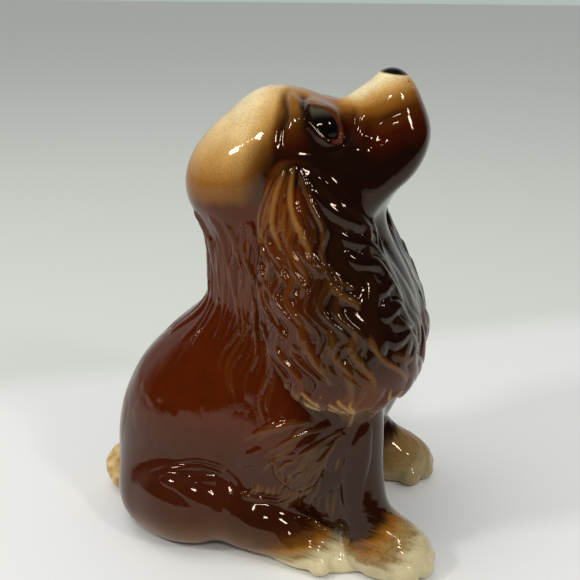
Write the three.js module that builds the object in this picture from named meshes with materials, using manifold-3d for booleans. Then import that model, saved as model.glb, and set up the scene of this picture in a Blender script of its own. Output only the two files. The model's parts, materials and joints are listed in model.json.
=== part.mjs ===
// Seated spaniel figurine: slip-cast earthenware under a glossy painted glaze.
// The body and the head are hollow castings, open to each other at the neck and to the air through
// a vent in the base. The ears, forelegs, hind paws and tail are solid castings, luted on with slip.
// Millimetres, +Z up. The dog faces -Y, so its right side is -X, and it sits on z = 0.
import * as THREE from "three";
import { mergeVertices } from "three/addons/utils/BufferGeometryUtils.js";
import Module from "manifold-3d";

const wasm = await Module();
wasm.setup();

// Driving dimensions.
const WALL = 3.4; // thickness of the hollow castings
const JOINT = 0.4; // slip joint between two castings
const NECK_SEAM = 83; // height of the joint between head and body
const VENT_RADIUS = 7;
const VENT_BACK = 16; // the vent's centre, behind the middle of the neck
const HAIR_DEPTH = 0.6; // how far the locks of the coat stand out
const LOCKS_AROUND = 11;

const COAT_AROUND = 44; // points round a casting that has hair

// Sections of the castings, each [place along the axis, low, high, half width].
// A torso section is a height with the casting's back and front there; forward is positive.
const TORSO = [
  [0, -42, 13, 19],
  [1.2, -44.5, 15, 21],
  [5, -47.4, 17.5, 23],
  [12, -49.4, 20, 24.6],
  [20, -49.6, 22.4, 25.4],
  [28, -48.2, 25, 25.4],
  [37, -44.4, 29.6, 25],
  [46, -38.4, 33.4, 24.6],
  [55, -29.6, 34.8, 24.2],
  [63, -23.4, 34.2, 22.8],
  [72, -21, 31, 20.6],
  [80, -21.6, 26.8, 18],
  [88, -24.4, 23.6, 16.6],
  [95, -24.6, 21, 15],
];
// A head section is a place along the forward axis with the casting's underside and top there.
const HEAD = [
  [-26.2, 93, 97, 4],
  [-25.4, 89, 100.4, 9.5],
  [-22.8, 84.5, 105, 14],
  [-17.8, 82, 110.8, 17],
  [-11.6, 81, 115.8, 18.8],
  [-5, 82, 119.2, 19.4],
  [1, 83, 119.3, 18.8],
  [7, 84.2, 117.4, 17.2],
  [12.5, 86.4, 116.6, 15],
  [18, 89.2, 120.4, 12.8],
  [23, 92, 123.6, 11.4],
  [27, 94.6, 125, 10],
  [30.4, 97.4, 121.8, 8.6],
  [33.4, 101, 116, 6.6],
  [35.2, 105, 110, 3],
];
// The hair that hangs over the side of the neck and chest, as its outer skin at each height.
const EAR_SKIN = [
  [38, -8, 31, 24],
  [44, -12, 35, 28.6],
  [54, -13, 37.6, 29.8],
  [63, -13, 37.2, 28.8],
  [72, -13, 34.4, 26.8],
  [80, -13, 31, 24.8],
  [88, -13, 27.4, 23],
  [96, -11, 22, 22],
  [104, -8, 15, 20.6],
  [109, -4, 9, 17],
];
// The ear's outline seen from the side, as points [forward, height] from its root round the front.
const EAR_OUTLINE = [
  [1, 106],
  [7, 104.4],
  [14, 99],
  [22, 91],
  [29, 81],
  [34, 68],
  [36.6, 56],
  [34, 47],
];
const EAR_BACK_EDGE = [
  [7, 49],
  [1.5, 60],
  [-2, 74],
  [-3.5, 88],
  [-3, 99],
];
// Its outline seen from the front, as points [side, height] down the inner edge and back up outside.
const EAR_FRONT = [
  [13, 107],
  [12, 98],
  [10.5, 88],
  [7, 76],
  [4.6, 64],
  [5.6, 55],
  [9.4, 48.5],
];
const EAR_FRONT_HEM = [
  [14, 49.5],
  [18, 44],
  [22, 45.5],
  [27, 40.5],
  [34, 44],
  [34, 107],
];
const EAR_TIPS = 5; // locks along the ear's lower edge
const EAR_TIP_DROP = 3.2;

const HAUNCH = { side: 18, forward: -20.6, height: 16, size: [13.6, 23, 18.5] };
const SKULL_HOLLOW = { forward: -5, height: 100, size: [15, 17, 14.5] };
const EYE = { side: 10, forward: 11, height: 112, size: [4.4, 4.6, 4.6] };
const BROW = { side: 8.4, forward: 6, height: 113, size: [6.2, 6.6, 5.2] };
const NOSE = { forward: 26.8, height: 121.4, size: [5, 3.6, 3.6] };
const FORELEG = {
  spine: [
    [17.5, 17, 49],
    [19.5, 19, 37],
    [21, 20.8, 26],
    [22.4, 23, 15],
    [23, 26.6, 6],
  ],
  radii: [9, 7.6, 6.6, 6.8, 7],
};
const FOREPAW = { side: 23.2, forward: 31.4, height: 5, size: [9, 11, 7.4], toes: 4, toeRadius: 3.9 };
const HIND_PAW = { side: 24.4, forward: 6, height: 4.4, size: [8.2, 15, 7.2], toes: 4, toeRadius: 3.6 };
const FORELEG_LEAD = 3; // the right foreleg is set this far ahead of the left
// Feathering down the back of a foreleg, as locks that taper to a tip.
const FEATHERS = [
  {
    spine: [
      [19, 11, 44],
      [20.4, 10, 34],
      [21.4, 11.6, 25],
      [22, 15.4, 18],
    ],
    radii: [3.6, 4.6, 3.6, 1],
  },
  {
    spine: [
      [21.4, 8, 42],
      [22.4, 5.4, 35],
      [23, 5.2, 29],
      [23.4, 7, 24],
    ],
    radii: [2.6, 3.6, 2.8, 0.8],
  },
];
const TAIL = {
  spine: [
    [3, -42, 8],
    [1.5, -47, 8.4],
    [-1, -50, 6.2],
    [-4.6, -49.4, 4.2],
  ],
  radii: [5, 5.6, 4.8, 2.6],
};

const forwardPoint = (side, forward, height) => new THREE.Vector3(side, -forward, height);

// A closed surface over rings of points, with a flat end at each end of the stack.
function closedStack(rings) {
  const around = rings[0].length;
  const middle = (ring) => ring.reduce((sum, p) => sum.add(p), new THREE.Vector3()).divideScalar(around);
  const points = [middle(rings[0]), ...rings.flat(), middle(rings[rings.length - 1])];
  const last = points.length - 1;
  const index = [];
  const at = (ring, step) => 1 + ring * around + (step % around);
  for (let step = 0; step < around; step++) {
    index.push(0, at(0, step + 1), at(0, step));
    for (let ring = 0; ring + 1 < rings.length; ring++) {
      index.push(at(ring, step), at(ring, step + 1), at(ring + 1, step));
      index.push(at(ring, step + 1), at(ring + 1, step + 1), at(ring + 1, step));
    }
    index.push(last, at(rings.length - 1, step), at(rings.length - 1, step + 1));
  }
  return new THREE.BufferGeometry().setFromPoints(points).setIndex(index);
}

// A casting from its sections along "height" or "forward". grow moves the whole skin out, or in where
// it is negative, and relief(turn, place) gives how far a point on the skin stands out.
function casting(sections, { axis, around = 32, perSection = 1, roundness = 2.3, grow = 0, relief }) {
  const places = sections.map((_, i) => i);
  const spline = new THREE.CubicInterpolant(places, sections.flat(), 4, new Float32Array(4));
  const end = sections.length - 1;
  const soften = (value) => Math.sign(value) * Math.abs(value) ** (2 / roundness);
  const rings = [];
  for (let k = 0; k <= end * perSection; k++) {
    const [place, low, high, half] = spline.evaluate(k / perSection);
    const pastEnd = k === 0 ? -grow : k === end * perSection ? grow : 0;
    const ring = [];
    for (let step = 0; step < around; step++) {
      const turn = (step / around) * 2 * Math.PI;
      const out = grow + (relief ? relief(turn, place) : 0);
      const across = soften(Math.cos(turn)) * Math.max(half + out, 0.2);
      const along = (low + high) / 2 + soften(Math.sin(turn)) * Math.max((high - low) / 2 + out, 0.2);
      ring.push(
        axis === "height"
          ? forwardPoint(across, along, place + pastEnd)
          : forwardPoint(across, place + pastEnd, along),
      );
    }
    rings.push(axis === "height" ? ring.reverse() : ring);
  }
  return solid(closedStack(rings));
}

// A round limb along a spine of [side, forward, height] points, closed by shrinking at both ends.
function limb({ spine, radii }, grow = 0, around = 16, steps = 8) {
  const curve = new THREE.CatmullRomCurve3(spine.map((p) => forwardPoint(...p)));
  const radius = new THREE.CubicInterpolant(radii.map((_, i) => i), radii, 1, new Float32Array(1));
  const frames = curve.computeFrenetFrames(steps, false);
  const rings = [];
  for (let k = 0; k <= steps; k++) {
    const t = k / steps;
    const centre = curve.getPoint(t);
    const r = radius.evaluate(t * (radii.length - 1))[0] + grow;
    const ring = [];
    for (let step = 0; step < around; step++) {
      const turn = (step / around) * 2 * Math.PI;
      ring.push(
        centre
          .clone()
          .addScaledVector(frames.normals[k], r * Math.cos(turn))
          .addScaledVector(frames.binormals[k], r * Math.sin(turn)),
      );
    }
    rings.push(ring);
  }
  return solid(closedStack(rings));
}

// An ellipsoid at a place, its size given as half its [width, length, height].
function ellipsoid(side, forward, height, [a, b, c], grow = 0, around = 16) {
  const ball = new THREE.SphereGeometry(1, around, Math.round(around / 2));
  ball.rotateX(Math.PI / 2);
  ball.scale(a + grow, b + grow, c + grow);
  const centre = forwardPoint(side, forward, height);
  ball.translate(centre.x, centre.y, centre.z);
  return solid(ball);
}

function solid(geometry) {
  geometry.deleteAttribute("normal");
  geometry.deleteAttribute("uv");
  const merged = mergeVertices(geometry, 1e-4);
  return new wasm.Manifold(
    new wasm.Mesh({
      numProp: 3,
      vertProperties: merged.attributes.position.array,
      triVerts: new Uint32Array(merged.index.array),
    }),
  );
}

// Everything between two heights.
function slab(low, high) {
  const box = new THREE.BoxGeometry(400, 400, high - low);
  box.translate(0, 0, (low + high) / 2);
  return solid(box);
}

function largest(manifold) {
  return manifold.decompose().reduce((best, part) => (part.volume() > best.volume() ? part : best));
}

function mirrored(manifold) {
  return manifold.mirror([1, 0, 0]);
}

const aboveTable = (manifold) => manifold.intersect(slab(0, 200));

// Locks of hair run down the chest and neck, and fade out over the smooth haunches and the face.
function hairRelief(turn, height) {
  const fromFront = Math.abs(Math.atan2(Math.cos(turn), Math.sin(turn)));
  const onCoat = THREE.MathUtils.smoothstep(height, 38, 50);
  return HAIR_DEPTH * onCoat * Math.sin(LOCKS_AROUND * fromFront + Math.sin(height / 7));
}

function bodySkin(grow = 0) {
  const torso = casting(TORSO, { axis: "height", grow, relief: hairRelief, around: COAT_AROUND });
  const { side, forward, height, size } = HAUNCH;
  const haunch = ellipsoid(-side, forward, height, size, grow, 24);
  return aboveTable(torso.add(haunch).add(mirrored(haunch)));
}

function headSkin(grow = 0) {
  const skull = casting(HEAD, { axis: "forward", grow });
  const neck = casting(TORSO.slice(-4), { axis: "height", grow, around: COAT_AROUND });
  const nose = ellipsoid(0, NOSE.forward, NOSE.height, NOSE.size, grow);
  const bumps = [EYE, BROW].map((b) => ellipsoid(-b.side, b.forward, b.height, b.size, grow));
  return [...bumps, ...bumps.map(mirrored)].reduce((all, bump) => all.add(bump), skull.add(neck).add(nose));
}

function bodyCasting() {
  const inside = casting(TORSO, { axis: "height", grow: -WALL, around: 24 });
  const vent = new THREE.CylinderGeometry(VENT_RADIUS, VENT_RADIUS, 4 * WALL, 32);
  vent.rotateX(Math.PI / 2);
  vent.translate(0, VENT_BACK, 0);
  return bodySkin().intersect(slab(0, NECK_SEAM)).subtract(inside).subtract(solid(vent));
}

function headCasting() {
  const { forward, height, size } = SKULL_HOLLOW;
  const inside = ellipsoid(0, forward, height, size);
  const throat = casting(TORSO.slice(-4), { axis: "height", grow: -WALL, around: 24 });
  return headSkin().intersect(slab(NECK_SEAM + JOINT, 200)).subtract(inside).subtract(throat);
}

const points2 = (pairs) => pairs.map((pair) => new THREE.Vector2(...pair));

// The ear's side outline, pushed out to the dog's right. Its lower edge ends in the tips of locks.
function earSidePlate() {
  const [front, low] = EAR_OUTLINE[EAR_OUTLINE.length - 1];
  const [back, high] = EAR_BACK_EDGE[0];
  const outline = new THREE.Shape();
  outline.moveTo(...EAR_OUTLINE[0]);
  outline.splineThru(points2(EAR_OUTLINE.slice(1)));
  const along = (t) => THREE.MathUtils.lerp(front, back, t);
  const level = (t) => THREE.MathUtils.lerp(low, high, t) - 4 * Math.sin(Math.PI * t);
  for (let tip = 0; tip < EAR_TIPS; tip++) {
    const middle = (tip + 0.5) / EAR_TIPS;
    const end = (tip + 1) / EAR_TIPS;
    outline.quadraticCurveTo(along(middle), level(middle) - 2 * EAR_TIP_DROP, along(end), level(end));
  }
  outline.splineThru(points2([...EAR_BACK_EDGE.slice(1), EAR_OUTLINE[0]]));
  const plate = new THREE.ExtrudeGeometry(outline, { depth: 40, bevelEnabled: false, curveSegments: 4 });
  plate.applyMatrix4(new THREE.Matrix4().set(0, 0, -1, 0, -1, 0, 0, 0, 0, 1, 0, 0, 0, 0, 0, 1));
  return solid(plate);
}

// The ear's front outline on the dog's right, pushed back through the figure.
function earFrontPlate() {
  const outline = new THREE.Shape();
  outline.moveTo(...EAR_FRONT[0]);
  outline.splineThru(points2(EAR_FRONT.slice(1)));
  points2(EAR_FRONT_HEM).forEach((point) => outline.lineTo(point.x, point.y));
  const plate = new THREE.ExtrudeGeometry(outline, { depth: 100, bevelEnabled: false, curveSegments: 3 });
  plate.applyMatrix4(new THREE.Matrix4().set(-1, 0, 0, 0, 0, 0, 1, -60, 0, 1, 0, 0, 0, 0, 0, 1));
  return solid(plate);
}

function earCasting() {
  const skin = casting(EAR_SKIN, { axis: "height", relief: hairRelief, around: COAT_AROUND });
  return largest(
    earSidePlate()
      .intersect(earFrontPlate())
      .intersect(skin)
      .subtract(bodySkin(JOINT))
      .subtract(headSkin(JOINT))
      .subtract(foreleg(FORELEG_LEAD / 2, JOINT))
      .subtract(foreleg(-FORELEG_LEAD / 2, JOINT)),
  );
}

function paw({ side, forward, height, size, toes, toeRadius }, grow = 0) {
  let made = ellipsoid(-side, forward, height, size, grow);
  for (let toe = 0; toe < toes; toe++) {
    const spread = toe / (toes - 1) - 0.5;
    const across = 1.5 * spread * size[0];
    const reach = size[1] * Math.sqrt(1 - (across / size[0]) ** 2) - toeRadius;
    const round = [toeRadius * 0.8, toeRadius * 1.4, toeRadius];
    made = made.add(ellipsoid(-side + across, forward + reach, toeRadius * 0.95, round, grow, 14));
  }
  return made;
}

// The right foreleg, moved forward from the stance the driving dimensions give.
function foreleg(ahead, grow = 0) {
  let made = mirrored(limb(FORELEG, grow)).add(paw(FOREPAW, grow));
  for (const feather of FEATHERS) {
    made = made.add(mirrored(limb(feather, grow, 10, 6)));
  }
  return aboveTable(made.translate([0, -ahead, 0]));
}

function forelegCasting(ahead) {
  return largest(foreleg(ahead).subtract(bodySkin(JOINT)));
}

function hindPawCasting() {
  return largest(
    aboveTable(paw(HIND_PAW))
      .subtract(bodySkin(JOINT))
      .subtract(foreleg(FORELEG_LEAD / 2, JOINT))
      .subtract(foreleg(-FORELEG_LEAD / 2, JOINT)),
  );
}

function tailCasting() {
  return largest(aboveTable(limb(TAIL)).subtract(bodySkin(JOINT)));
}

function node(name, manifold, color) {
  const { vertProperties, numProp, numVert, triVerts } = manifold.getMesh();
  const position = new Float32Array(numVert * 3);
  for (let i = 0; i < numVert; i++) {
    position.set(vertProperties.subarray(i * numProp, i * numProp + 3), i * 3);
  }
  const geometry = new THREE.BufferGeometry()
    .setAttribute("position", new THREE.BufferAttribute(position, 3))
    .setIndex(new THREE.BufferAttribute(triVerts, 1));
  geometry.computeVertexNormals();
  const glaze = new THREE.MeshStandardMaterial({ color, roughness: 0.12, metalness: 0 });
  const mesh = new THREE.Mesh(geometry, glaze);
  mesh.name = name;
  return mesh;
}

const CHESTNUT = 0x4a1a08;
const UMBER = 0x24100a;
const BUFF = 0xb98a4c;
const CREAM = 0xd9c495;

const dog = new THREE.Group();
dog.add(node("body", bodyCasting(), CHESTNUT));
dog.add(node("head", headCasting(), BUFF));
dog.add(node("tail", tailCasting(), BUFF));
const ear = earCasting();
dog.add(node("ear_right", ear, UMBER));
dog.add(node("ear_left", mirrored(ear), UMBER));
dog.add(node("foreleg_right", forelegCasting(FORELEG_LEAD / 2), CHESTNUT));
dog.add(node("foreleg_left", mirrored(forelegCasting(-FORELEG_LEAD / 2)), CHESTNUT));
const hindPaw = hindPawCasting();
dog.add(node("hind_paw_right", hindPaw, CREAM));
dog.add(node("hind_paw_left", mirrored(hindPaw), CREAM));

// The origin is under the middle of the whole figurine.
const extent = new THREE.Box3().setFromObject(dog);
dog.position.y = -(extent.min.y + extent.max.y) / 2;

const figurine = new THREE.Group();
figurine.add(dog);
export default figurine;
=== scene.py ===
"""Seated spaniel figurine in glossy airbrushed ceramic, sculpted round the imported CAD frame.

The figure is sculpted as a distance field in millimetres, where a point is (side, forward, up): the
dog's right side is negative, and the origin is on the table below its neck, as in the CAD model. The
field is meshed once, combed with locks of hair, painted, and split into the CAD model's castings.
"""

import json
import math

import bpy
import numpy as np
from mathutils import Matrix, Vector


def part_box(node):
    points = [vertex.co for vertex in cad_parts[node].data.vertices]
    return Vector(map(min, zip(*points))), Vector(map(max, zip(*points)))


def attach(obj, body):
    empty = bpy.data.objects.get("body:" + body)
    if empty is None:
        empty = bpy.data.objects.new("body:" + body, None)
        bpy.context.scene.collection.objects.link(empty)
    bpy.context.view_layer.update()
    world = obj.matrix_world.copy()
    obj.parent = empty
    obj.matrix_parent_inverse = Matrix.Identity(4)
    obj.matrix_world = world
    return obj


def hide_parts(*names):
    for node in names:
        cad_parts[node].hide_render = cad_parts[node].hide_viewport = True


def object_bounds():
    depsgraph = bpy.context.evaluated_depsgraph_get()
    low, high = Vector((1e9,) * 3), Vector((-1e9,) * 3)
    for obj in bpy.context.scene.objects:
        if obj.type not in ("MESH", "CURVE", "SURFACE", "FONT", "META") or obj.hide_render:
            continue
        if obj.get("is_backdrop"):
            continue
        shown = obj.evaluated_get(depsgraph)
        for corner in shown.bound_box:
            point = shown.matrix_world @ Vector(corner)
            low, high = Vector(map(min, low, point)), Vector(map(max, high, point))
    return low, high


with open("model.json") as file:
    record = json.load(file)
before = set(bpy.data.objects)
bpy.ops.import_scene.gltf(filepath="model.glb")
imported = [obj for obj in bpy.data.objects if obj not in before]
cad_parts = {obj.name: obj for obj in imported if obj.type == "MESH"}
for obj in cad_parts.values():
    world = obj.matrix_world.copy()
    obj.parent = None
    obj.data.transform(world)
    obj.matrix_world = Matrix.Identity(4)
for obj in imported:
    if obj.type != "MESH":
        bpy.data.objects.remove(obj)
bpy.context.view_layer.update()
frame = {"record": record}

import openvdb
from mathutils import Vector

scene = bpy.context.scene

# -------- driving dimensions, millimetres

HEIGHT = 125.0  # from the table to the nose
BACK_OF_BODY = 49.6  # from the neck's middle to the back of the CAD body
NECK_SEAM = 83.0  # height of the seam between body and head
VOXEL = 0.75  # spacing of the field's samples
FORELEG_LEAD = 1.5  # the right forepaw is set this far ahead, and the left as far behind
HEAD_ROLL = math.radians(4)  # the head is cocked a little to the left
ROLL_HEIGHT = 100.0  # height of the line that it turns about

# A torso section is [height, back, front, half width]; forward is positive.
TORSO = [
    [0, -42.5, 13, 19.4], [5, -47.4, 17.5, 24.2],
    [12, -49.4, 20, 25.2], [20, -49.8, 22.4, 25.4],
    [28, -48.8, 25, 25.4], [37, -46, 29.4, 24.8],
    [46, -41, 33, 22.8], [55, -32, 34, 20],
    [61, -24.6, 34.4, 18.2], [65, -21.8, 34, 17.4],
    [70, -21.4, 32.4, 16.8], [80, -21.6, 27.4, 16.4],
    [88, -22.8, 24, 16], [96, -23, 20, 15],
]
# The outer skin of the ears' hair, which hangs over the neck and the chest, the same way.
EAR_SKIN = [
    [38, -4, 28, 23], [44, -5, 33.4, 27.4],
    [54, -6, 36.2, 29.2], [63, -6.5, 35, 28.8],
    [72, -7, 31.4, 27], [80, -7.4, 27.2, 24.6],
    [88, -8, 24.2, 22.4], [96, -8, 22.4, 20.6],
    [104, -6, 16, 19], [110, -3, 9, 16.6],
]
# The ear's outline: how far forward its back edge is at each height, then how high its top and its
# hem are at each place forward.
EAR_BACK = [[40, 14], [44, 10], [50, 5], [62, -1], [75, -3.4], [88, -3.8], [98, -3], [110, 0]]
EAR_TOP = [
    [-4, 103.5], [0, 105], [6, 105], [12, 103], [18, 99.4],
    [24, 94], [27.5, 88], [31, 80], [34, 71], [40, 56],
]
EAR_HEM = [[4, 51.5], [10, 47.4], [18, 45.6], [26, 46], [32, 48.4], [40, 52.5]]
EAR_SQUARENESS = 2.7  # more than 2 squares the ear's oval sections
# The muzzle's sections, the same way as the torso's.
MUZZLE = [
    [84, 0, 17, 12.4], [88, 2, 20, 12.8],
    [92, 3, 24, 13], [96, 4, 27.8, 12.9],
    [100, 6, 31.6, 12.3], [105, 7, 34.2, 11.4],
    [110, 9, 34.8, 10.2], [115, 12, 33.4, 8.8],
    [120, 16, 30.6, 7], [124, 19, 28.4, 5],
]

# -------- distance field


def table(rows):
    """A table of rows by its first column, refined to smooth curves through its points."""
    rows = np.array(rows, float)
    places = rows[:, 0]
    slopes = np.gradient(rows[:, 1:], places, axis=0)
    fine = np.linspace(places[0], places[-1], 241)
    i = np.clip(np.searchsorted(places, fine) - 1, 0, len(places) - 2)
    gap = places[i + 1] - places[i]
    t = ((fine - places[i]) / gap)[:, None]
    gap = gap[:, None]
    a, b = rows[i, 1:], rows[i + 1, 1:]
    curve = (
        (2 * t**3 - 3 * t**2 + 1) * a
        + (t**3 - 2 * t**2 + t) * gap * slopes[i]
        + (3 * t**2 - 2 * t**3) * b
        + (t**3 - t**2) * gap * slopes[i + 1]
    )
    return lambda at: [np.interp(at, fine, column) for column in curve.T]


def smooth_min(a, b, k):
    h = np.maximum(k - np.abs(a - b), 0) / k
    return np.minimum(a, b) - h * h * k / 4


def smooth_max(a, b, k):
    return -smooth_min(-a, -b, k)


def join(d, *shapes):
    """A shape with others joined on in turn, each given as (shape, blend radius)."""
    for shape, k in shapes:
        d = smooth_min(d, shape, k)
    return d


def ease(value, low, high):
    """0 up to low, 1 from high on, and a smooth rise between."""
    t = np.clip((value - low) / (high - low), 0, 1)
    return t * t * (3 - 2 * t)


def length(*parts):
    return np.sqrt(sum(part * part for part in parts) + 1e-9)


def ellipsoid(p, centre, radii):
    q = (p - centre) / radii
    k0 = np.sqrt(np.einsum("ij,ij->i", q, q) + 1e-9)
    q = q / radii
    return k0 * (k0 - 1) / np.sqrt(np.einsum("ij,ij->i", q, q) + 1e-12)


def limb(p, points, radii, segments=3):
    """A tapered round limb through points, each with its radius."""
    route = table([[i, *point, radius] for i, (point, radius) in enumerate(zip(points, radii))])
    stops = np.stack(route(np.linspace(0, len(points) - 1, segments * (len(points) - 1) + 1)), 1)
    best = None
    for a, b in zip(stops, stops[1:]):
        along = b[:3] - a[:3]
        t = np.clip((p - a[:3]) @ along / (along @ along), 0, 1)
        gap = p - a[:3] - t[:, None] * along
        d = np.sqrt(np.einsum("ij,ij->i", gap, gap)) - (a[3] + (b[3] - a[3]) * t)
        best = d if best is None else np.minimum(best, d)
    return best


def loft(p, sections, roundness=2.25):
    """Stacked oval sections, as the radial distance to the skin."""
    back, front, half = sections(p[:, 2])
    along = p[:, 1] - (back + front) / 2
    radius = length(p[:, 0], along)
    ratio = (
        np.abs(p[:, 0] / half) ** roundness + np.abs(along * 2 / (front - back)) ** roundness + 1e-6
    ) ** (1 / roundness)
    return radius * (1 - 1 / ratio)


def unit(vector):
    return np.array(vector, float) / np.linalg.norm(vector)


def square_to(vector, axis):
    """The part of a vector that is square to a unit axis."""
    return np.array(vector, float) - axis * np.dot(vector, axis)


def mirrored(p):
    """The same points folded onto the dog's right side."""
    q = p.copy()
    q[:, 0] = -np.abs(q[:, 0])
    return q


torso_sections = table(TORSO)
ear_sections = table(EAR_SKIN)
muzzle_sections = table(MUZZLE)
ear_back = table(EAR_BACK)
ear_top = table(EAR_TOP)
ear_hem = table(EAR_HEM)
ear_inner = table([[40, -7], [56, -3], [76, -6], [90, -10], [108, -12]])


def body(p, q):
    torso = smooth_max(loft(p, torso_sections), p[:, 2] - 92, 4)
    flank = ellipsoid(q, [-15.6, 5, 25], [10.2, 14, 19])
    rump = ellipsoid(q, [-14.2, -27.8, 9.4], [15, 17.2, 12.6])
    haunch = ellipsoid(q, [-20.6, -23, 12], [11.4, 14.6, 12.6])
    knee = ellipsoid(q, [-22, -9.6, 11], [8.4, 8.2, 9.8])
    shoulder = ellipsoid(q, [-15, 11, 36.6], [10, 12.6, 15.6])
    return join(torso, (flank, 6), (rump, 7), (haunch, 2.6), (knee, 3), (shoulder, 6))


def rolled(p):
    """Points in the head's own frame, before it was cocked."""
    c, s = math.cos(HEAD_ROLL), math.sin(HEAD_ROLL)
    side, up = p[:, 0], p[:, 2] - ROLL_HEIGHT
    return np.stack([side * c - up * s, p[:, 1], side * s + up * c + ROLL_HEIGHT], 1)


EYE = np.array([-14.2, 11.0, 112.9])
EYE_OUT = unit([-0.84, 0.3, 0.45])
EYE_LONG = unit(square_to([0.15, 0.56, -0.82], EYE_OUT))
EYE_WIDE = np.cross(EYE_LONG, EYE_OUT)
EYE_BALL = 6.4
EYE_ARC = 6.6  # radius of the two arcs that bound the eye's opening
EYE_ARC_GAP = 3.9  # from the eye's middle to each arc's centre


def eye_opening(q):
    """Distance from the eye's almond outline, in its plane, and the place along and across it."""
    gap = q - EYE
    long, wide = gap @ EYE_LONG, gap @ EYE_WIDE
    wide = wide * (1 - 0.03 * long)
    arcs = np.maximum(length(long, wide - EYE_ARC_GAP), length(long, wide + EYE_ARC_GAP))
    return arcs - EYE_ARC, long, wide


def head(p, q):
    p = rolled(p)
    q = mirrored(p)
    forward, up = p[:, 1], p[:, 2]
    skull = ellipsoid(p, [0, -1.8, 100.2], [17.6, 18.9, 19])
    crown = ellipsoid(p, [0, -13.2, 95.6], [16.6, 13.6, 13.6])
    forehead = ellipsoid(p, [0, 1.6, 105], [15.4, 10.4, 12.2])
    peak = ellipsoid(p, [0, -5, 110.2], [10, 6.4, 8])
    bridge = limb(p, [[0, 7, 105.6], [0, 15, 110.8], [0, 24, 117.6]], [7.4, 6.4, 5.9])
    block = loft(p, muzzle_sections, 4.4 - 2 * ease(up, 100, 118))
    block = smooth_max(block, 0.86 * (up - 115.6 - 0.64 * (forward - 15)), 4)
    block = smooth_max(block, up - 123.6, 5)
    cheek = ellipsoid(q, [-9.4, 9, 97.8], [8.8, 12, 11])
    muzzle = join(bridge, (block, 4), (cheek, 7))
    throat = limb(p, [[0, 14, 98], [0, 12.5, 86]], [11.4, 11.2], 1)
    nose = ellipsoid(p, [0, 24.8, 121.6], [4.4, 3.4, 3.2])
    brow = ellipsoid(q, [-9.2, 6.8, 110.8], [6.4, 7, 6])
    cheekbone = ellipsoid(q, [-10.8, 15.2, 106], [3, 4.4, 2.2])
    d = join(skull, (crown, 7), (forehead, 6), (peak, 5), (muzzle, 5), (throat, 5))
    d = join(d, (nose, 2.4), (brow, 4), (cheekbone, 3))
    outline, _, _ = eye_opening(q)
    face = q[:, 1] > -5
    lid = length(outline - 0.4, d) - 0.55
    d = smooth_min(d, np.where(face, lid, 9), 1)
    socket = np.maximum(outline, np.abs((q - EYE) @ EYE_OUT) - 3.4)
    d = smooth_max(d, -np.where(face, socket, 9), 0.7)
    ball = length(*(q - (EYE - EYE_OUT * (EYE_BALL - 0.5))).T) - EYE_BALL
    d = smooth_min(d, ball, 0.5)
    nostril = ellipsoid(q, [-2.2, 29, 121.2], [0.8, 1.2, 0.8])
    return smooth_max(d, -nostril, 0.8)


def ear(p, q):
    skin = loft(q, ear_sections, EAR_SQUARENESS)
    forward, up = q[:, 1], q[:, 2]
    tips = 0.7 * np.sin(forward * 0.9) + 0.4 * np.sin(forward * 2.1 + 1)
    edge = smooth_max(ear_back(up)[0] - forward, ear_hem(forward)[0] + tips - up, 3)
    edge = smooth_max(edge, (up - ear_top(forward)[0]) * 0.8, 4)
    edge = smooth_max(edge, q[:, 0] - ear_inner(up)[0], 3)
    return smooth_max(skin, edge, 2.5)


def paw(q, centre, radii, toes, toe_radius, toe_reach):
    """A foot with a row of toes along its front."""
    d = ellipsoid(q, centre, radii)
    for toe in range(toes):
        spread = toe / (toes - 1) - 0.5
        across = 1.5 * spread * radii[0]
        reach = radii[1] * math.sqrt(1 - (across / radii[0]) ** 2)
        tip = [centre[0] + across, centre[1] + reach - toe_reach, toe_radius * 0.9]
        root = [centre[0] + across * 0.6, centre[1] + reach * 0.25, centre[2] + radii[2] * 0.45]
        d = smooth_min(d, limb(q, [root, tip], [toe_radius * 0.7, toe_radius], 1), 0.7)
    return d


def foreleg(p, q):
    pastern = ease(p[:, 2], 8, 22)
    ahead = np.where(p[:, 0] < 0, FORELEG_LEAD, -FORELEG_LEAD - 1.8 * pastern)
    q = q.copy()
    q[:, 1] -= ahead
    points = [[-15, 16, 52], [-17.8, 19, 38], [-19.8, 20.4, 26], [-22.2, 22.4, 16], [-22.8, 27.6, 7.4]]
    column = limb(q, points, [9, 7.6, 6.8, 6.9, 7.2])
    feather = limb(q, [[-19, 11, 42], [-20, 8.6, 32], [-21, 9.6, 22], [-22, 14, 14]], [5, 6, 5.4, 4])
    foot = paw(q, [-23.2, 30.2, 5], [8.6, 11, 7.4], 4, 3.5, 2.6)
    return join(column, (feather, 4), (foot, 5))


def hind_paw(p, q):
    hock = ellipsoid(q, [-23.4, -2.4, 9.6], [7.2, 8.6, 7.2])
    foot = limb(q, [[-23, -6, 6.2], [-23.8, 3, 6.4], [-24.6, 10, 5.4]], [5.4, 6.2, 5.6])
    toes = paw(q, [-25, 10, 4.6], [7, 9.4, 6], 4, 3, 2)
    web = ellipsoid(q, [-24.6, 18, 1], [5.4, 7, 4.4])
    return join(hock, (foot, 4), (toes, 3), (web, 2))


def tail(p, q):
    points = [[3, -42, 9], [1.5, -47, 9.4], [-1, -51, 7.2], [-4.6, -50.4, 4.4]]
    return limb(p, points, [5.6, 5.8, 5.2, 3])


PARTS = {part.__name__: part for part in (body, head, ear, foreleg, hind_paw, tail)}


def part_distances(p):
    q = mirrored(p)
    return {name: part(p, q) for name, part in PARTS.items()}


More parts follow.
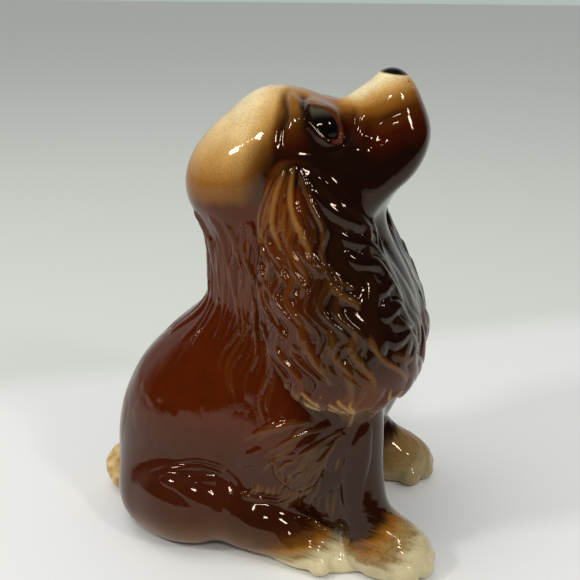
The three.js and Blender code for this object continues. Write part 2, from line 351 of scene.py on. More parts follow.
def figure(p):
    """The whole figurine's distance field."""
    d = part_distances(p)
    whole = join(d["body"], (d["head"], 3), (d["foreleg"], 3.5), (d["hind_paw"], 2.2))
    whole = join(whole, (d["ear"], 2.2), (d["tail"], 1.2))
    vent = np.maximum(length(p[:, 0], p[:, 1] + 16) - 7, p[:, 2] - 12)
    whole = smooth_max(whole, -vent, 1)
    return smooth_max(whole, -p[:, 2], 1.6)


# -------- coat, a relief map of combed locks

COAT_STEP = 0.2
COAT_FRONT = 6.0  # the coat wraps round an upright line this far ahead of the origin
COAT_RADIUS = 27.0  # turns the angle round that line into millimetres
COAT_WIDE = (-37, 49)
COAT_TALL = (0, 112)


def coat_place(p):
    """Where a point is on the unwrapped coat: its distance round the figure, and its height."""
    turn = np.arctan2(np.abs(p[:, 0]), p[:, 1] - COAT_FRONT)
    return COAT_FRONT + COAT_RADIUS * (math.pi / 2 - turn), p[:, 2]


def curve(points, count=36):
    """A smooth run of places through given points."""
    points = np.array(points, float)
    stops = np.concatenate([[0], np.cumsum(np.hypot(*np.diff(points[:, :2], axis=0).T))])
    return np.stack(table(np.column_stack([stops, points]))(np.linspace(0, stops[-1], count)), 1)


def along_route(x, y, points):
    """How far places are from a route, and how far along it their nearest point is, 0 to 1."""
    nearest = np.full(x.shape, 1e9)
    place = np.zeros(x.shape)
    for i, (a, b) in enumerate(zip(points, points[1:])):
        along = b - a
        t = np.clip(((x - a[0]) * along[0] + (y - a[1]) * along[1]) / (along @ along), 0, 1)
        gap = np.hypot(x - a[0] - t * along[0], y - a[1] - t * along[1])
        closer = gap < nearest
        nearest[closer] = gap[closer]
        place[closer] = ((i + t) / (len(points) - 1))[closer]
    return nearest, place


class Coat:
    """Two maps over the unwrapped coat: how far the hair stands out, and how golden it is."""

    def __init__(self):
        wide = int((COAT_WIDE[1] - COAT_WIDE[0]) / COAT_STEP)
        tall = int((COAT_TALL[1] - COAT_TALL[0]) / COAT_STEP)
        self.relief = np.zeros((tall, wide), np.float32)
        self.gold = np.zeros((tall, wide), np.float32)
        self.across, self.up = np.meshgrid(
            COAT_WIDE[0] + COAT_STEP * np.arange(wide), COAT_TALL[0] + COAT_STEP * np.arange(tall)
        )

    def window(self, points, width):
        """The rows and columns of the maps that a lock can touch."""
        low, high = points.min(0) - width, points.max(0) + width
        tall, wide = self.relief.shape
        c0, c1 = np.clip((np.array([low[0], high[0]]) - COAT_WIDE[0]) / COAT_STEP, 0, wide).astype(int)
        r0, r1 = np.clip((np.array([low[1], high[1]]) - COAT_TALL[0]) / COAT_STEP, 0, tall).astype(int)
        return slice(r0, r1), slice(c0, c1)

    def lock(self, points, width, height, gold=0.0, blunt=0.12, over=False):
        """Comb one lock through points: a tapered round ridge, or a hair over the locks below it."""
        points = np.asarray(points, float)
        window = self.window(points, width)
        u, z = self.across[window], self.up[window]
        if u.size == 0:
            return
        nearest, place = along_route(u, z, points)
        taper = np.sqrt(np.clip(place / blunt, 0.02, 1) * np.clip((1 - place) / 0.5, 0, 1))
        r = nearest / (width / 2 * (0.25 + 0.75 * taper))
        ridge = np.clip(1 - r * r, 0, 1) ** 0.6
        made = height * taper * ridge
        crest = gold * np.sqrt(taper) * np.clip(1 - r * r, 0, 1) ** 1.6
        if over:
            self.relief[window] += made
            self.gold[window] = np.maximum(self.gold[window], crest)
            return
        wins = made > self.relief[window]
        self.relief[window][wins] = made[wins]
        self.gold[window][wins] = crest[wins]

    def locks(self, rows, **how):
        """Comb listed locks: width, height, goldness if it differs by lock, and route."""
        for *shape, route in rows:
            self.lock(curve(route), *shape, **how)

    def at(self, chart, p):
        """One of the maps at points, read between its cells."""
        u, z = coat_place(p)
        c = np.clip((u - COAT_WIDE[0]) / COAT_STEP, 0, chart.shape[1] - 1.001)
        r = np.clip((z - COAT_TALL[0]) / COAT_STEP, 0, chart.shape[0] - 1.001)
        c0, r0 = c.astype(int), r.astype(int)
        fc, fr = c - c0, r - r0
        low = chart[r0, c0] * (1 - fc) + chart[r0, c0 + 1] * fc
        high = chart[r0 + 1, c0] * (1 - fc) + chart[r0 + 1, c0 + 1] * fc
        return low * (1 - fr) + high * fr


# Lines that the ear's hair follows, from root to tip, as [round the figure, height].
EAR_LINES = [
    [[0.5, 104], [-4, 98], [-6, 88], [-5, 76], [-1, 63], [4.5, 51.5], [11, 43]],
    [[4, 105], [1, 97], [0.5, 89], [4, 80], [7.5, 69.5], [12, 58], [16.5, 42.5]],
    [[6, 105.5], [5.2, 97.5], [8, 89], [11, 80], [13, 70], [16.5, 58.5], [20, 42]],
    [[7.5, 105], [10.6, 97.5], [14, 89], [15.5, 80], [18.3, 70], [21, 58.5], [23.5, 42.5]],
    [[9, 104], [16, 97], [20, 89], [22.3, 79.5], [24.4, 69.5], [26.5, 59.5], [28, 43.5]],
    [[12, 103], [22, 96], [27.6, 89.5], [30, 80], [32.3, 70], [33, 59.5], [32, 45]],
    [[16, 101], [27, 95], [33, 88.5], [36.6, 79], [38, 69], [38.2, 58.5], [36.5, 46]],
    [[24, 98], [34, 92], [40, 86], [42, 78], [43, 68], [42.5, 58], [41.5, 47]],
]
# The locks that stand out on the ear: width, height, goldness, and a route from root to tip.
EAR_LOCKS = [
    (2.8, 1, 0.6, [[-2.6, 101], [-6.2, 95], [-7.6, 88], [-6.6, 79]]),
    (2.2, 1, 0.5, [[-0.6, 101], [-3.4, 95], [-4.2, 88.6], [-2.2, 82], [-1.6, 77]]),
    (2.2, 1, 0.45, [[2.8, 97], [2.6, 90], [5.8, 84], [5.6, 78]]),
    (3, 1.1, 0.75, [[1.6, 103], [-0.8, 96.5], [-0.7, 90.5], [1.7, 86], [3.2, 81]]),
    (3.2, 1.2, 0.8, [[4.4, 104], [4.2, 97], [6.8, 91], [9.8, 86], [10.4, 81], [9, 77]]),
    (2, 1.4, 0.4, [[6.2, 103], [10.4, 96], [13.6, 89.5], [13.6, 84], [15, 80], [18.5, 78], [22.5, 76]]),
    (2.8, 1.3, 0.5, [[14.4, 79.5], [17.5, 75.6], [20.4, 73.8], [22.4, 70.5]]),
    (2.2, 1.4, 0.3, [[3.4, 86], [6, 81], [9.4, 76.6], [10, 71], [12, 68], [15.4, 67.2]]),
    (3.2, 1.3, 0.4, [[8.6, 71], [9.4, 65], [12, 60], [15, 55], [16.6, 50]]),
    (2.6, 1.4, 0.45, [[13.6, 70.5], [15.2, 67], [15.6, 62.5], [18.4, 57.5], [19, 53], [19.6, 47]]),
    (2.6, 1.4, 0.45, [[18.6, 71], [19.6, 68], [18.9, 64], [22.3, 57], [24.2, 50], [25, 45]]),
    (2.2, 1.4, 0.5, [[22, 70], [22.6, 66], [24.2, 61.4], [28.5, 56.6], [31.4, 52], [32.6, 49]]),
    (2.4, 1.2, 0.2, [[-5.4, 88], [-1, 83], [3.6, 79], [7, 75], [10, 71]]),
    (2.2, 1.2, 0.2, [[-5.6, 82], [-2, 77], [2.4, 73.6], [6, 70], [9, 66.6]]),
    (2.6, 1.2, 0.15, [[-6.4, 77], [-3, 72], [1.4, 68], [5, 64.6], [9, 61.6]]),
    (2.4, 1.2, 0.2, [[-5.6, 70], [-3, 65], [1, 59], [4.6, 55], [8.6, 51.4]]),
    (2.2, 1.1, 0.25, [[-4.4, 64], [-1, 58], [3, 52.6], [7, 49]]),
    (4.6, 1.3, 0, [[11, 103], [20, 98], [29, 92.6], [35, 88]]),
    (4.4, 1.5, 0, [[9.6, 100], [18, 93.6], [26, 89.6], [33, 84.6]]),
    (4, 1.3, 0, [[14.6, 91], [21, 87.6], [27, 85.6], [33, 81], [38, 78.6]]),
    (4.2, 1.4, 0, [[17.6, 85.6], [23, 82.4], [28.6, 80.8], [33, 76.6], [38, 74.6]]),
    (4.2, 1.5, 0, [[23.4, 78.4], [27.6, 75.4], [31.6, 76], [35, 71.4], [39, 69.6]]),
    (4, 1.5, 0, [[23.6, 73], [27, 70], [31.4, 70.6], [34.6, 66], [38.6, 64]]),
    (3.8, 1.4, 0, [[25, 67], [28.6, 63.6], [32.6, 64], [35.6, 60], [38.6, 57]]),
    (3.4, 1.2, 0.2, [[27, 62], [31, 58.6], [34.4, 57.4], [37, 53]]),
]
# Fine locks elsewhere, the same way: round the haunch, over the hock, and at the elbow.
BODY_LOCKS = [
    (1.4, 0.4, 0, [[-21, 21], [-18.6, 23.4], [-15, 24.6], [-11.6, 23.6], [-8.6, 20.6], [-6.4, 16.4]]),
    (1.1, 0.35, 0, [[-18.4, 25], [-15, 26.6], [-11.4, 25.8], [-8, 22.6]]),
    (1.4, 0.5, 0, [[-11, 25], [-8, 21.6], [-6.6, 18]]),
    (2.6, 0.5, 0, [[-19, 21.4], [-15, 20.6], [-11.4, 17], [-9.4, 12]]),
    (2.2, 0.5, 0, [[-15.4, 23], [-11.6, 21.6], [-8.6, 18.4], [-7.4, 14]]),
    (1.6, 0.7, 0.1, [[-6.4, 19], [-2, 17.4], [2, 17.8], [6, 20.4]]),
    (1.6, 0.8, 0.2, [[1.6, 30], [2.2, 26], [5.4, 22.4]]),
    (1.4, 0.7, 0.2, [[4.6, 30], [3.6, 26], [6.2, 21.6]]),
    (1.2, 0.6, 0.3, [[18, 34], [17, 28], [14, 22], [12.6, 17]]),
    (1.2, 0.6, 0.3, [[16.6, 30], [14.4, 25], [10.6, 20]]),
]
# Broad folds at the elbow and down the foreleg: width, height and route.
FOLDS = [
    (6.5, 1, [[16, 42], [12, 36], [8, 31], [3, 26]]),
    (6, 1.1, [[19, 40], [15.6, 33], [11.4, 27], [6, 22]]),
    (5, 0.9, [[18, 31], [15.6, 25], [12, 20]]),
    (5.5, 1, [[24, 42], [22, 34], [20.6, 27], [19.6, 19]]),
    (4, 0.7, [[-2, 33], [-5, 29], [-8, 26.6]]),
]
# Pale locks along the ear's hem, which meet below the cheek: width, height and route.
HEM_LOCKS = [
    (1.5, 0.8, [[2, 53], [7, 49.4], [12.4, 47.4], [19.6, 46]]),
    (1.4, 0.9, [[7.6, 53.6], [10.4, 50], [14.4, 47.8], [19.2, 46.4]]),
    (1.3, 0.9, [[12, 54], [13.6, 50.4], [16.4, 48], [19.8, 46]]),
    (1.4, 1, [[15.8, 53], [16.8, 50], [19.6, 46.8], [21, 43.6]]),
    (1.5, 1.1, [[19.6, 52], [19, 49.4], [20, 46.4], [20.4, 43], [19.8, 41]]),
    (1.3, 0.9, [[23, 53], [23, 50], [21.6, 47], [21, 43.6]]),
    (1.4, 0.9, [[27, 53], [26.4, 50.4], [23.6, 47.6], [21.4, 45.6]]),
    (1.3, 0.8, [[31.6, 54], [29.6, 50.6], [25.4, 47.8], [22, 46]]),
    (1.5, 0.9, [[38, 52.6], [32, 49.2], [27, 47], [22, 45.4]]),
    (1.2, 0.7, [[39, 55.6], [36.6, 52.4], [31.6, 50]]),
]

SINGLE_HAIRS = 130
NAPE_LOCKS = 110
SHOULDER_HAIRS = 46
CHEST_LOCKS = 18
FEATHERS = 38
FLANK_STROKES = 90
BROAD_LOCKS_FROM = 2.7  # the ear line where fine locks behind give way to broad ones in front


def comb_ear(coat, draw):
    lines = [curve(line, 60) for line in EAR_LINES]

    def ear_route(place, start, end, sway, phase):
        """A wavy route along the ear, at a place between two of its lines."""
        i = min(int(place), len(lines) - 2)
        route = lines[i] + (lines[i + 1] - lines[i]) * (place - i)
        k = np.linspace(start, end, 30) * (len(route) - 1)
        points = np.stack([np.interp(k, np.arange(len(route)), route[:, c]) for c in (0, 1)], 1)
        wave = sway * np.sin(2 * math.pi * (points[:, 1] / 13 + phase))
        points[:, 0] += wave * ease(k, 4, 20)
        return points

    # Rows of locks that overlap from root to tip.
    place = 0.3
    row = 0
    while place < len(lines) - 1.05:
        broad = place > BROAD_LOCKS_FROM
        for start in np.arange(0.02 + 0.12 * (row % 2), 0.86, 0.34 if broad else 0.24):
            end = min(start + draw(0.34, 0.5), 1)
            strand = min(max(place + draw(-0.12, 0.12), 0), len(lines) - 1.01)
            root = start + draw(-0.02, 0.04)
            points = ear_route(strand, root, end, draw(1.2, 1.9), 0.07 * place)
            width = draw(4.4, 6.4) if broad else draw(2.6, 3.8)
            amber = 0.9 * (place < 1.9) * (start < 0.3) + 0.4 * (1.2 < place < 3.8) * (start > 0.6)
            gold = amber * draw(0.1, 0.6) + 0.04
            coat.lock(points, width, draw(0.7, 1.2) + 0.2 * broad, gold, blunt=0.3)
        place += 0.66 if broad else 0.42
        row += 1
    coat.locks(EAR_LOCKS, blunt=0.25)
    # Single hairs over the locks.
    for _ in range(SINGLE_HAIRS):
        strand, start = draw(0, 3.2), draw(0.05, 0.7)
        points = ear_route(strand, start, min(start + draw(0.2, 0.44), 1), 1.6, 0.07 * strand)
        width, height = draw(0.9, 1.5), draw(0.15, 0.32)
        coat.lock(points, width, height, draw(0, 0.3), blunt=0.4, over=True)


def comb_neck(coat, draw):
    # Fine locks down the nape and over the shoulders, which end in points on the back.
    for _ in range(NAPE_LOCKS):
        u, top = draw(-37, -5), draw(66, 90)
        z = np.linspace(top, top - draw(12, 22), 20)
        z = np.maximum(z, 58 + 0.25 * (u + 20) + draw(-3, 3))
        fall = 0.02 * (90 - z) ** 1.6 * (u > -30)
        points = np.stack([u + 0.5 * np.sin(z / 3.2 + u) + fall * 0.5, z], 1)
        points = points[np.concatenate([[True], np.abs(np.diff(z)) > 1e-6])]
        if len(points) > 4:
            coat.lock(points, draw(1.3, 2.8), draw(0.45, 0.95))
    # Long fine hairs that fall from behind the ear over the shoulder.
    for _ in range(SHOULDER_HAIRS):
        u, top = draw(-17, -3), draw(60, 92)
        z = np.linspace(top, top - draw(14, 26), 24)
        sweep = 0.012 * np.maximum(84 - z, 0) ** 1.5
        points = np.stack([u + sweep + 0.9 * np.sin(z / 2.4 + 0.3 * u), z], 1)
        coat.lock(points, draw(1, 1.7), draw(0.2, 0.4), 0.12, blunt=0.4, over=True)
    # Chest hair between the ears.
    for _ in range(CHEST_LOCKS):
        u, top = draw(40, 48.4), draw(52, 90)
        z = np.linspace(top, top - draw(10, 18), 20)
        points = np.stack([u + 1.2 * np.sin(z / 3.4 + u), z], 1)
        coat.lock(points, draw(3, 5), draw(0.4, 0.7), blunt=0.4)


def comb_legs(coat, draw, normal):
    # Feathering that sweeps back and down from the elbow, over broad soft folds.
    coat.locks(FOLDS, blunt=0.4)
    for i in range(FEATHERS):
        root = np.array([draw(5, 18.5), draw(22, 43)])
        lean = math.radians(-66 + 2 * (43 - root[1]) + 1.6 * (root[0] - 12) + normal(0, 9))
        reach = draw(8, 15)
        t = np.linspace(0, 1, 18)
        points = root + np.stack([np.sin(lean) * t * reach, -np.cos(lean) * t * reach - 3 * t * t], 1)
        points[:, 0] += 0.7 * np.sin(t * 5 + i)
        coat.lock(points, draw(0.8, 1.7), draw(0.2, 0.4), 0.25, blunt=0.4, over=True)
    # The tuft above the hock, a short braid of slanting locks.
    for u in np.arange(-4.6, 2.6, 1.1):
        u, tip = u + draw(-0.3, 0.3), draw(18.6, 19.8)
        points = [[u + 0.8, tip + draw(2.4, 3.6)], [u + 0.4, tip + 1.4], [u - 0.5, tip]]
        coat.lock(points, draw(1.1, 1.7), draw(0.5, 0.9), draw(0.2, 0.6), blunt=0.5)


def comb_coat():
    """The whole coat, where the taller lock shows wherever two cross."""
    coat = Coat()
    rng = np.random.default_rng(7)
    draw, normal = rng.uniform, rng.normal
    comb_ear(coat, draw)
    coat.locks(BODY_LOCKS)
    comb_neck(coat, draw)
    comb_legs(coat, draw, normal)
    coat.locks(HEM_LOCKS, gold=1, blunt=0.3)
    # Faint strokes over the flank.
    for _ in range(FLANK_STROKES):
        u, top = draw(-34, 6), draw(34, 56)
        drop = draw(5, 12)
        t = np.linspace(0, 1, 8)
        points = np.stack([u + normal(1, 0.8) * t, top - drop * t], 1)
        coat.lock(points, draw(1.5, 4), draw(0.08, 0.18), blunt=0.5)
    return coat


# Strokes of the modelling tool on the face: width, height, and a route of [forward, height].
FACE_STROKES = [
    (1, -0.8, [[-0.9, 119.6], [0.6, 117.2], [1.8, 115], [1.5, 112.4], [1.3, 110], [1.3, 106.6]]),
    (0.9, 0.5, [[0.6, 119.4], [2.2, 117], [3.2, 114.6]]),
    (0.9, -0.7, [[2.8, 120.4], [4, 118.8], [5.2, 117.2], [6, 115.2]]),
    (0.7, 0.45, [[4.4, 115.6], [5.4, 113.4], [6.6, 111.4]]),
    (0.7, 0.4, [[6, 115.2], [7, 113], [7.8, 111.2]]),
    (1, -0.45, [[16.8, 116], [17.3, 113.6], [17, 110.4]]),
    (1.1, 0.45, [[18.4, 115], [18.8, 112.6], [19.2, 109]]),
    (1, -0.45, [[20.4, 113], [20.8, 109.4], [22, 107]]),
    (1.2, 0.4, [[22.2, 109.6], [22.8, 107.6], [24.4, 107.4], [25.4, 109]]),
    (1, -0.35, [[23, 112.2], [25, 113.6], [27, 114.6], [28.6, 115.4]]),
]


def face_strokes(q):
    """How far the modelling tool's strokes raise the face."""
    rise = np.zeros(len(q))
    for width, height, route in FACE_STROKES:
        nearest, place = along_route(q[:, 1], q[:, 2], curve(route, 16))
        fade = np.sin(math.pi * np.clip(place * 0.9 + 0.05, 0, 1)) ** 0.7
        rise += height * fade * np.exp(-((nearest / width) ** 2))
    return rise


# -------- mesh


def field_mesh():
    """The figurine's surface as points and quads, in millimetres."""
    low, high = np.array([-36, -59, -3]), np.array([36, 50, 129])
    coarse = 4  # voxels to a block, which is skipped where the surface isn't near
    cells = np.ceil((high - low) / (VOXEL * coarse)).astype(int)
    blocks = np.stack(np.meshgrid(*(np.arange(n) for n in cells), indexing="ij"), -1).reshape(-1, 3)
    middle = figure(low + (blocks + 0.5) * coarse * VOXEL)
    values = np.repeat(middle, coarse**3).reshape(*cells, coarse, coarse, coarse)
    near = np.abs(middle) < 2.4 * coarse * VOXEL
    steps = np.stack(np.meshgrid(*(np.arange(coarse),) * 3, indexing="ij"), -1).reshape(-1, 3)
    fine = (blocks[near][:, None] * coarse + steps).reshape(-1, 3)
    values.reshape(len(middle), -1)[near] = figure(low + fine * VOXEL).reshape(near.sum(), -1)
    values = values.transpose(0, 3, 1, 4, 2, 5).reshape(cells * coarse)
    volume = openvdb.FloatGrid(3.0)
    volume.copyFromArray(np.clip(values / VOXEL, -3, 3).astype(np.float32))
    points, quads = volume.convertToQuads(0.0)
    return low + points.astype(float) * VOXEL, quads


def onto_surface(p, passes=3):
    """Points moved onto the field's surface, down its slope."""
    step = 0.05
    for _ in range(passes):
        d = figure(p)
        slope = np.stack([(figure(p + step * np.eye(3)[axis]) - d) / step for axis in range(3)], 1)
        p = p - np.clip(d, -0.6, 0.6)[:, None] * slope / np.maximum((slope**2).sum(1), 0.2)[:, None]
    return p


def mesh_arrays(mesh):
    p = np.empty(len(mesh.vertices) * 3)
    mesh.vertices.foreach_get("co", p)
    corners = np.empty(len(mesh.loops), int)
    mesh.loops.foreach_get("vertex_index", corners)
    return p.reshape(-1, 3), corners.reshape(-1, 4)


def build_mesh(name, points, faces):
    mesh = bpy.data.meshes.new(name)
    mesh.vertices.add(len(points))
    mesh.vertices.foreach_set("co", np.asarray(points, np.float32).ravel())
    mesh.loops.add(faces.size)
    mesh.loops.foreach_set("vertex_index", faces.astype(np.int32).ravel())
    mesh.polygons.add(len(faces))
    mesh.polygons.foreach_set("loop_start", np.arange(0, faces.size, faces.shape[1], dtype=np.int32))
    mesh.update(calc_edges=True)
    return mesh


def add(name, data):
    made = bpy.data.objects.new(name, data)
    scene.collection.objects.link(made)
    return made


def subdivided(points, faces):
    work = add("work", build_mesh("work", points, faces))
    modifier = work.modifiers.new("smooth", "SUBSURF")
    modifier.levels = modifier.render_levels = 1
    made = bpy.data.meshes.new_from_object(work.evaluated_get(bpy.context.evaluated_depsgraph_get()))
    arrays = mesh_arrays(made)
    bpy.data.objects.remove(work)
    bpy.data.meshes.remove(made)
    return arrays


def vertex_normals(points, faces):
    mesh = build_mesh("normals", points, faces)
    normals = np.empty(len(points) * 3)
    mesh.vertex_normals.foreach_get("vector", normals)
    bpy.data.meshes.remove(mesh)
    return normals.reshape(-1, 3)


# -------- paint


def srgb(code):
    """A linear colour from a hex code."""
    value = np.array([int(code[i : i + 2], 16) / 255 for i in (0, 2, 4)])
    return np.where(value < 0.04045, value / 12.92, ((value + 0.055) / 1.055) ** 2.4)


CREAM = srgb("f6e8b8")
BUFF = srgb("ecce94")
SAND = srgb("cca05c")
TAN = srgb("946022")
GINGER = srgb("723c0c")
AMBER = srgb("9a5a1a")
GOLD = srgb("ac7c3c")
CHESTNUT = srgb("501b04")
DUSK = srgb("2c1810")
# painted shade: the left forepaw, on the far side, is darkened towards this olive tan
LEFT_PAW_SHADE = srgb("8a7248")
# painted reflection: the grey sheen over the eyeball's upper part
PAINTED_EYE_SHEEN = srgb("4c483e")
RUST = srgb("3c1004")
UMBER = srgb("1a0a05")
BLACK = srgb("0a0807")
FLESH = srgb("5c2c1e")
PUTTY = srgb("d2c69c")
OLIVE = srgb("a08a5c")
BISQUE = srgb("efe6d6")
# How high the cream and the dark brown meet the tan on the muzzle's side, as [forward, height].
muzzle_cream = table(
    [[10, 117.2], [14, 117.2], [18, 117.2], [21, 118.4], [25, 120.4], [28, 121.6], [36, 124]]
)
muzzle_dark = table(
    [[10, 113.6], [15, 114.6], [19, 113.8], [23, 114], [26, 115.2], [30, 117], [36, 118]]
)
SCALLOP = 4.2  # spacing of the scallops where the sprayed crown ends


def mix(a, b, amount):
    amount = np.asarray(amount)[:, None]
    return a * (1 - amount) + b * amount


def coats(colour, *layers):
    """A colour under further layers of (colour, amount)."""
    for layer, amount in layers:
        colour = mix(colour, layer, amount)
    return colour


def ramp(value, *stops):
    """A colour that runs through stops of (value, colour)."""
    at = [stop[0] for stop in stops]
    return np.stack([np.interp(value, at, [stop[1][c] for stop in stops]) for c in range(3)], 1)


def toe_strands(p):
    """An uneven wave across the paws, whose crests run forward to the toes."""
    across = p[:, 2] - np.abs(p[:, 0])
    along = p[:, 1]
    broad = np.sin(1.2 * across + 1.6 * np.sin(0.4 * along))
    fine = np.sin(3.1 * across + 1.9 * np.sin(0.7 * along + 1.3 * across) + 0.5 * along)
    return 0.55 * broad + 0.45 * fine


def crown_edge(place):
    """How high the sprayed crown ends behind, in soft scallops."""
    scallop = 0.6 * np.abs(np.sin(math.pi * (place / SCALLOP)))
    return 92.2 + scallop + 0.02 * np.maximum(place + 25, 0) ** 1.6


def hair_paint(place, up, gold):
    """Ears: gold-crested locks on russet behind, near-black in front, pale tips along the hem."""
    dark = ease(place + 0.08 * (up - 75), 6, 15) * ease(up - 0.25 * place, 44, 56)
    root = ease(up, 82, 96) * (1 - ease(place, 5, 11)) * (1 - ease(up, 99, 104))
    middle = np.exp(-(((place - 7) / 9) ** 2) - ((up - 72) / 12) ** 2)
    gild = gold * (0.85 - 0.3 * dark) * (1 - 0.6 * middle)
    tips = 1 - ease(up - ear_hem(np.clip(place, 4, 36))[0], 0.5, 4)
    return coats(
        mix(CHESTNUT, RUST, np.full(len(up), 0.8)),
        (UMBER, dark),
        (CHESTNUT, 0.6 * root),
        (mix(TAN * 0.25, UMBER, ease(place, -2, 5)), ease(up + 0.3 * place, 99, 103)),
        (mix(AMBER, GOLD, np.clip(gold, 0, 1)), np.clip(gild, 0, 0.9)),
        (OLIVE, tips * np.clip(0.12 + gold, 0, 0.85)),
    )


def body_paint(forward, up, gold):
    """Body: chestnut, darker low down, and tan just above the table, a painted reflection of the table
    in the glaze.
    """
    # Painted reflection of the table: a lighter tan band just above it.
    low = (1 - ease(up + 0.1 * np.abs(forward + 15), 3, 15)) * ease(forward, -44, -34)
    hock = np.exp(-(((forward + 2) / 9) ** 2) - ((up - 11) / 7) ** 2)
    return coats(
        np.tile(CHESTNUT, (len(up), 1)),
        (DUSK, 0.5 * ease(-up, -42, -26)),
        (UMBER, 0.8 * ease(forward, 2, 14)),
        (UMBER, 0.6 * hock),
        # the painted reflection of the table, in tan
        (TAN * 0.7, 0.6 * low),
        (GOLD, 0.5 * np.clip(gold, 0, 1)),
    )


def crown_paint(f, z, place, up, from_ear):
    """Crown: cream, sprayed to tan round the back and to near-black beside the ear."""
    tone = z - 1.7 * np.maximum(f + 8.5, 0)
    rim = np.exp(-(((up - crown_edge(place) - 0.5) / 0.5) ** 2))
    by_ear = 1 - ease(from_ear + 0.2 * (z - 100), 0, 11)
    return coats(
        ramp(tone, (90, GINGER * 0.8), (97, TAN), (104, SAND), (111, BUFF), (117.5, CREAM)),
        (GINGER * 0.5, 0.7 * rim),
        (mix(TAN * 0.35, UMBER, ease(f, -9, -2)), 0.85 * by_ear),
    )


def face_paint(crown, q, grooves):
    """Face: brown below the crown, a cream bridge to the muzzle, the eye with its haw and a painted
    reflection on its ball, and the nose.
    """
    f, z = q[:, 1], q[:, 2]
    browns = ((107, RUST), (111, GINGER * 0.45), (114, TAN * 0.5), (117, TAN * 0.9), (120, SAND * 0.8))
    brow = coats(
        ramp(z, *browns),
        (UMBER, ease(f - 0.25 * (114 - z), 2, 8) * (1 - ease(z, 112, 117))),
        (UMBER, 1 - ease(z, 103, 110)),
    )
    cream, dark = muzzle_cream(f)[0], muzzle_dark(f)[0]
    shade = (z - dark) / (cream - dark)
    tans = ((-2, UMBER), (-0.9, RUST), (-0.1, GINGER * 0.5), (0.5, TAN), (1, SAND), (1.6, CREAM))
    outline, long, wide = eye_opening(q)
    face = (f > 0) & (z > 100)
    lid = (1 - ease(outline, 1.2, 3.2)) * (0.6 + 0.4 * ease(-wide, -2, 2))
    haw = (1 - ease(np.abs(outline - 0.2), 0.3, 0.9)) * ease(wide + 0.6 * long, 0.8, 2.6)
    # The eyeball is black, with a painted reflection, a grey sheen, over its upper part.
    ball = mix(np.tile(BLACK, (len(q), 1)), PAINTED_EYE_SHEEN, ease(wide * 0.7 - long, 0.6, 4))
    nose = ellipsoid(q, [0, 25.4, 124.4], [4, 3.2, 2.8])
    return coats(
        crown,
        (brow, ease(f + 0.1 * np.minimum(z - 108, 0), -1.9, 0.3)),
        (ramp(shade, *tans), ease(f + 0.3 * (z - 112), 12, 16)),
        (UMBER, 0.75 * grooves),
        (UMBER, face * lid),
        (FLESH, 0.8 * face * haw),
        (ball, face * (1 - ease(outline, -0.5, -0.1))),
        (BLACK, 1 - ease(nose, 0.1, 0.7)),
    )


def toe_paint(toe, tans, streaks):
    """Brown to cream toes, with streaks of tan that stop short of the tips."""
    return mix(ramp(toe, *tans), TAN * 0.6, 0.5 * streaks * (1 - ease(toe, 0.6, 0.95)))


def forepaw_paint(p, strand):
    """The forepaw's colour, mottled, with painted shade over the left paw, and how strongly it covers
    the body's.
    """
    side, forward, up = p.T
    toe = ease(forward - 1.1 * up + 1.6 * strand, 8, 34)
    sole = (1 - ease(up + strand, 4, 10)) * ease(forward, 14, 22)
    toe = np.maximum(toe, 0.9 * sole)
    tans = ((0, UMBER), (0.1, TAN * 0.5), (0.22, TAN), (0.4, SAND * 0.55), (0.65, OLIVE), (0.88, PUTTY))
    mottle = np.sin(2.9 * forward + 2 * np.sin(1.7 * up + 1.1 * side))
    mottle = mottle * np.sin(2.3 * side + 2 * np.sin(0.9 * forward))
    toes = toe_paint(toe, tans, ease(mottle - 0.4 * strand, -0.1, 0.9))
    # Painted shade: the left forepaw is darkened towards an olive tan.
    return mix(toes, LEFT_PAW_SHADE, 0.7 * (side > 0)), ease(toe, 0, 0.12)


def hind_paw_paint(p, strand):
    """The hind paw's colour, and how strongly it covers the body's."""
    toe = ease(p[:, 1] - 2.6 * p[:, 2] + 2 * strand, -25, 4)
    tans = ((0, RUST), (0.3, TAN * 0.4), (0.5, TAN), (0.72, OLIVE), (0.95, CREAM * 0.8))
    return toe_paint(toe, tans, ease(-strand, 0.2, 0.9)), ease(toe, 0, 0.25)


def tail_paint(side, forward, up):
    broad = 0.3 * np.sin(1.3 * forward + 2 * np.sin(0.7 * up + side))
    fine = 0.2 * np.sin(2.3 * up + 2 * np.sin(forward))
    return mix(SAND * 0.8, BUFF, 0.5 + broad + fine)


def paint(p, near, gold, grooves):
    """The glaze's colour at each point, and how grainy the airbrush left it.

    near holds each part's distance at each point, and grooves how deep the tool went into the face.
    """
    side, forward, up = p.T
    q = mirrored(rolled(p))
    place = coat_place(p)[0]

    def on(part, soft=0.5):
        others = np.minimum.reduce([d for name, d in near.items() if name != part])
        return ease(others - near[part], -soft, soft)

    skin = face_paint(crown_paint(q[:, 1], q[:, 2], place, up, near["ear"]), q, grooves)
    on_head = ease(up - crown_edge(place), -0.3, 0.3) * ease(near["ear"] - near["head"], -0.3, 0.5)
    throat = ease(q[:, 1], 4, 9) * ease(up, 84, 88) * (near["head"] < near["ear"])
    on_head = np.maximum(on_head, throat)
    chest = (forward > 18) * ease(up, 40, 48)
    strand = toe_strands(p)
    on_fore, on_hind = on("foreleg", 1), on("hind_paw", 1)
    fore, fore_cover = forepaw_paint(p, strand)
    hind, hind_cover = hind_paw_paint(p, strand)
    colour = coats(
        body_paint(forward, up, gold),
        (hair_paint(place, up, gold), np.maximum(on("ear"), chest)),
        (skin, on_head),
        (fore, on_fore * fore_cover),
        (hind, on_hind * hind_cover),
        (tail_paint(side, forward, up), on("tail")),
        (BISQUE, 1 - ease(up, 0.05, 0.3)),  # bare clay where it stands
    )
    grain = np.clip(0.7 * on_head + 0.3 * on_fore + 0.3 * on_hind + 0.15, 0, 1)
    return colour, grain


# -------- materials


